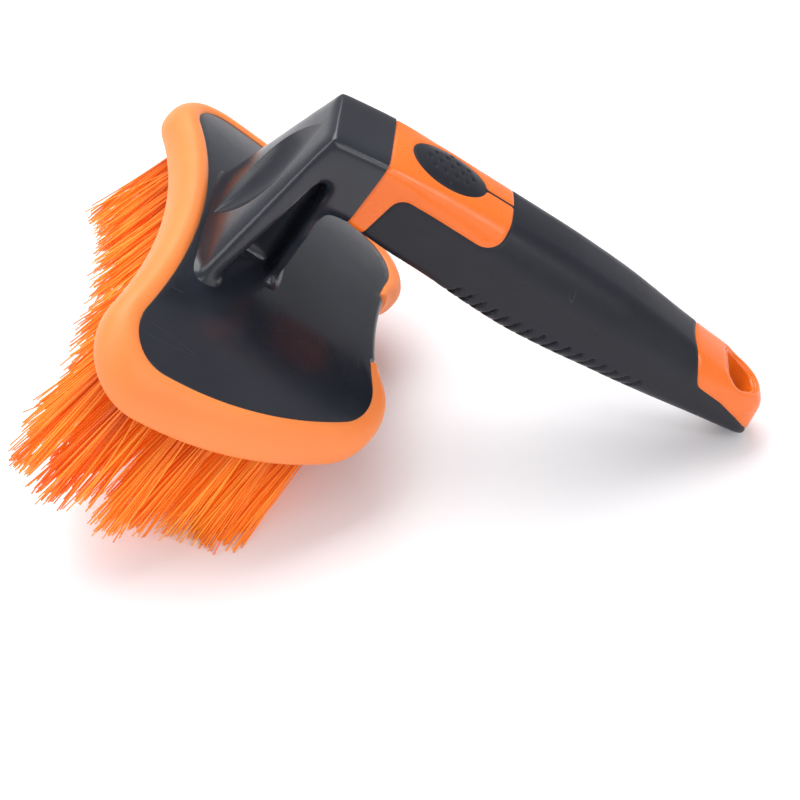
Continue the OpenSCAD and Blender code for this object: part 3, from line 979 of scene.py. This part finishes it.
def skin(name, points, faces, sink, material, node, thick):
    """A piece of the handle's surface, sunk by sink along its normals and thickened inwards."""
    moved = points[:, :3] - points[:, 3:6] * sink[:, None]
    piece = make_piece(name, moved, faces, material, node)
    shell = piece.modifiers.new("thickness", "SOLIDIFY")
    shell.thickness, shell.offset, shell.use_even_offset = thick / 1000, -1, False
    mesh = evaluated(piece)
    smooth_by_angle(mesh, 50)
    piece.modifiers.clear()
    piece.data = mesh
    return piece


def hole_ring(level):
    """The hang hole's outline at a level."""
    ring = []
    for a in np.linspace(-math.pi, math.pi, 97)[:-1]:
        reach = np.linspace(3.0, 15.0, 500)
        p = np.zeros((len(reach), 9))
        p[:, 0], p[:, 1], p[:, 2] = HANG_U + reach * math.cos(a), reach * math.sin(a), level
        ring.append(p[np.argmax(hole_distance(p) > 0), :2])
    return np.array(ring)


def skin_height(grid, flat, top):
    """Height of the handle's skin over the points flat, on its top or bottom."""
    rows = grid.reshape(-1, 9)
    side = rows[(rows[:, 5] > 0.3) if top else (rows[:, 5] < -0.3)]
    heights = []
    for point in flat:
        away = np.hypot(side[:, 0] - point[0], side[:, 1] - point[1])
        near = np.argsort(away)[:6]
        weight = 1 / (away[near] + 0.05)
        heights.append((side[near, 2] * weight).sum() / weight.sum())
    return np.array(heights)


def build_handle():
    grid = handle_grid()
    rows, columns = grid.shape[:2]
    points = grid.reshape(-1, 9)
    faces = [(i * columns + j, i * columns + (j + 1) % columns,
              (i + 1) * columns + (j + 1) % columns, (i + 1) * columns + j)
             for i in range(rows - 1) for j in range(columns)]
    faces = [f[::-1] for f in faces]
    cap = tuple((rows - 1) * columns + j for j in range(columns))
    faces.append(cap[::-1])
    points, faces = clip(points, faces, hole_distance(points))

    orange_points, orange_faces = clip(points, faces, -orange_distance(points))
    core_points, core_faces = clip(orange_points, orange_faces, pad_distance(orange_points))
    pad_points, pad_faces = clip(orange_points, orange_faces, -pad_distance(orange_points))
    grip_points, grip_faces = clip(points, faces, orange_distance(points))

    def edge_lip(p):
        return lip(orange_distance(p)) + hole_rim(p)

    seam_lip = 0.35 * np.exp(-((core_points[:, 0] - seam_u(core_points[:, 2])) / 0.6)**2)
    core_sink = edge_lip(core_points) + lip(pad_distance(core_points), *PAD_LIP) + seam_lip
    skin("core", core_points, core_faces, core_sink, CORE, "handle_core", 2.2)
    skin("grip", grip_points, grip_faces, edge_lip(grip_points) + groove_depth(grip_points), GRIP,
         "grip_sleeve", 1.6)
    dome = 0.45 * smooth(-pad_distance(pad_points), 0.2, 3.5)
    skin("pad", pad_points, pad_faces,
         lip(pad_distance(pad_points), *PAD_LIP) + lip(orange_distance(pad_points)) * 0.3
         + dimple_depth(pad_points) - dome, GRIP, "thumb_pad", 1.2)
    build_hole_wall(grid)


def build_hole_wall(grid):
    """The hang hole's wall, lofted from its mouth to its bore: core above and grip below."""
    upper_ring, lower_ring = hole_ring(HOLE_MOUTH + 1), hole_ring(HOLE_MOUTH - 1)
    top = skin_height(grid, upper_ring, True) - WALL_INSET
    low = skin_height(grid, lower_ring, False) + WALL_INSET
    split = np.clip(loop_floor(lower_ring[:, 0]) - 1.0, low + 0.5, top - 0.5)
    count = len(upper_ring)
    for name, upper, lower, material in (("hole_upper", top, split, CORE),
                                         ("hole_lower", split, low, GRIP)):
        wall, wall_faces = [], []
        for k, t in enumerate(np.linspace(0, 1, 9)):
            level = upper + (lower - upper) * t
            share = ((top - level) / (top - low))[:, None]
            wall.append(np.column_stack([upper_ring * (1 - share) + lower_ring * share, level]))
            if k:
                wall_faces += bridge((k - 1) * count, k * count, count)
        piece = make_piece(name, np.vstack(wall), wall_faces, material)
        shell = piece.modifiers.new("thickness", "SOLIDIFY")
        shell.thickness, shell.offset = 0.0012, 1


# ---- bristles
FILAMENTS, FILAMENT_R, SIDES, RINGS = 60, 0.30, 4, 9
FOOT_SUNK, TIP_TAPER = 1.5, 0.8
FLOOR_CLEARANCE, MOST_BEND, BEND_TRIES = 0.4, 2.4, 22
STRAY_SHARE, STRAY_SPREAD = 0.08, 2.6  # a few filaments stand away from their tuft
GOLDEN_TURN = 2.39996  # radians from one filament of a tuft to the next


def head_directions(rows):
    """Directions in the row frame, one a row."""
    return rows[:, :1] * U_AXIS + rows[:, 1:2] * [0.0, 1.0, 0.0] + rows[:, 2:3] * N_AXIS


def bend_path(start, way, aside, lengths, angles):
    """Centre lines in mm that leave along way and curl towards aside by angles (a row each)."""
    t = (np.arange(RINGS - 1) + 0.5) / (RINGS - 1)
    turn = angles[:, None] * t**2
    step = lengths[:, None, None] / (RINGS - 1)
    heads = way[:, None] * np.cos(turn)[..., None] + aside[:, None] * np.sin(turn)[..., None]
    walked = np.cumsum(heads * step, axis=1)
    return start[:, None] + np.concatenate([np.zeros((len(start), 1, 3)), walked], axis=1)


def lowest(paths):
    return paths[:, :, 2].min(axis=1)


def lay_on_floor(start, way, outward, lengths):
    """Straight filaments, except that those the floor is in the way of bend along it."""
    aside = outward - way * (outward * way).sum(axis=1)[:, None]
    aside /= np.linalg.norm(aside, axis=1)[:, None]
    low, high = np.zeros(len(start)), np.full(len(start), MOST_BEND)
    paths = bend_path(start, way, aside, lengths, low)
    touching = lowest(paths) < FLOOR_CLEARANCE
    for _ in range(BEND_TRIES):
        middle = (low + high) / 2
        below = lowest(bend_path(start, way, aside, lengths, middle)) < FLOOR_CLEARANCE
        low, high = np.where(below, middle, low), np.where(below, high, middle)
    return bend_path(start, way, aside, lengths, np.where(touching, high, 0.0))


def filament_paths(row):
    """Centre lines of a row's filaments in mm, (filament, ring, 3), and each one's tone."""
    starts, ways, outs, lengths, curls, tones = [], [], [], [], [], []
    for k, foot, way in tufts(row):
        side = np.cross(way, [0, 1.0, 0])
        side /= np.linalg.norm(side)
        other = np.cross(way, side)
        lean = rng.normal(0, 0.022, 2)
        tuft_tone = rng.normal(0, 0.09)
        for i in range(FILAMENTS):
            r = (TUFT_R - 0.25) * math.sqrt((i + 0.5) / FILAMENTS)
            a = i * GOLDEN_TURN + rng.uniform(-0.3, 0.3)
            place = np.array([r * math.cos(a), r * math.sin(a)])
            stray = STRAY_SPREAD if rng.random() < STRAY_SHARE else 1.0
            splay = place * rng.uniform(0.02, 0.04) + lean + rng.normal(0, 0.028 * stray, 2)
            starts.append(foot - FOOT_SUNK * way + place[0] * side + place[1] * other)
            aim = way + splay[0] * side + splay[1] * other
            ways.append(aim / np.linalg.norm(aim))
            outs.append([-0.6 + rng.normal(0, 0.15),
                         aim[1] * 2 + k / SIDE_COLUMN + rng.normal(0, 0.2)])
            lengths.append(FOOT_SUNK + FREE_LEN * (1 + rng.normal(0, 0.02))
                           - abs(rng.normal(0, 1.2)))
            curls.append(rng.normal(0, 0.5 * stray, 2) @ np.array([side, other]))
            tones.append(np.clip(0.5 + tuft_tone + rng.normal(0, 0.24), 0, 1))
    start, way = to_world(np.array(starts)) * 1000, head_directions(np.array(ways))
    outward = np.column_stack([outs, np.zeros(len(outs))])
    outward /= np.linalg.norm(outward, axis=1)[:, None]
    paths = lay_on_floor(start, way, outward, np.array(lengths))
    t = np.linspace(0, 1, RINGS)
    paths += head_directions(np.array(curls))[:, None] * (4 * t * (1 - t))[None, :, None]
    paths[:, :, 2] = np.maximum(paths[:, :, 2], FILAMENT_R + 0.05)
    return paths, np.array(tones)


def build_bristles(row):
    lines, tones = filament_paths(row)
    count = len(lines)
    ways = np.gradient(lines, axis=1)
    ways /= np.linalg.norm(ways, axis=2)[:, :, None]
    side = np.cross(ways, [0.1, 1.0, 0.3])
    side /= np.linalg.norm(side, axis=2)[:, :, None]
    other = np.cross(ways, side)
    taper = np.linspace(1.0, TIP_TAPER, RINGS)[None, :, None]
    rings = []
    for k in range(SIDES):
        a = 2 * math.pi * k / SIDES
        rings.append(lines + FILAMENT_R * taper * (math.cos(a) * side + math.sin(a) * other))
    points = np.stack(rings, axis=2).reshape(-1, 3)
    per = RINGS * SIDES
    pattern = []
    for i in range(RINGS - 1):
        for k in range(SIDES):
            a, b = i * SIDES + k, i * SIDES + (k + 1) % SIDES
            pattern.append((a, b, b + SIDES, a + SIDES))
    pattern.append(tuple(range(per - SIDES, per)))
    pattern.append(tuple(range(SIDES))[::-1])
    pattern = np.array(pattern)
    faces = (pattern[None] + per * np.arange(count)[:, None, None]).reshape(-1, 4)
    mesh = bpy.data.meshes.new("bristles")
    mesh.from_pydata((points / 1000).tolist(), [], faces.tolist())
    mesh.shade_smooth()
    piece = add_piece(f"bristles_{row + 1}", mesh, BRISTLE, f"bristle_row_{row + 1}")
    along = np.tile(np.repeat(np.linspace(0, 1, RINGS), SIDES), count)
    for name, values in (("along", along), ("tone", np.repeat(tones, per))):
        store = piece.data.attributes.new(name, "FLOAT", "POINT")
        store.data.foreach_set("value", values.astype(np.float32))


# ---- the whole brush
build_block()
build_bumper()
build_handle()
for row in range(TUFT_ROWS):
    build_bristles(row)
    anchors = frame["nodes"][f"anchor_row_{row + 1}"]
    anchors.data.materials.clear()
    anchors.data.materials.append(WIRE)

# ---- stage, light and camera
def build_stage():
    mesh = bpy.data.meshes.new("floor")
    mesh.from_pydata([(-3, -3, 0), (3, -3, 0), (3, 3, 0), (-3, 3, 0)], [], [(0, 1, 2, 3)])
    m = Nodes("floor paper")
    colour = m.ramp(m.noise(4.0, 2.0), [(0.3, (0.90, 0.89, 0.905)), (0.7, (0.92, 0.91, 0.92))])
    mesh.materials.append(m.set(Base_Color=colour, Roughness=0.6))
    floor = new_object("floor", mesh)


def add_light(name, at, target, size, power):
    lamp = bpy.data.lights.new(name, "AREA")
    lamp.shape, lamp.size, lamp.size_y = "RECTANGLE", size[0], size[1]
    lamp.energy = power
    obj = new_object(name, lamp)
    obj.location = at
    obj.rotation_euler = (Vector(target) - Vector(at)).to_track_quat("-Z", "Y").to_euler()


def build_light():
    world = bpy.data.worlds.new("studio")
    world.use_nodes = True
    background = world.node_tree.nodes["Background"].inputs
    background["Color"].default_value = (0.97, 0.97, 1.0, 1)
    background["Strength"].default_value = 0.6
    bpy.context.scene.world = world
    add_light("top", (-0.35, 0.45, 1.1), (0, 0, 0), (1.2, 0.9), 15)
    add_light("left", (-1.1, -0.3, 0.7), (0, 0, 0.05), (0.7, 0.8), 4)
    add_light("front", (0.5, -1.2, 0.8), (0, 0, 0.05), (0.9, 0.7), 4.5)
    add_light("glint", (0.9, -0.55, 0.85), (0, 0, 0.1), (0.18, 0.5), 2.5)


CAMERA_AT, CAMERA_LENS = (0.0322, -0.4061, 0.4096), 74.2
CAMERA_DOWN, CAMERA_TURN = 44.93, 4.87  # degrees below level, and round from +Y


def build_camera():
    bpy.context.scene.view_settings.view_transform = "Standard"
    camera = bpy.data.cameras.new("camera")
    camera.lens, camera.sensor_width = CAMERA_LENS, 36
    obj = new_object("camera", camera)
    obj.location = CAMERA_AT
    obj.rotation_euler = (math.radians(90 - CAMERA_DOWN), 0, math.radians(CAMERA_TURN))
    bpy.context.scene.camera = obj


build_stage()
build_light()
build_camera()
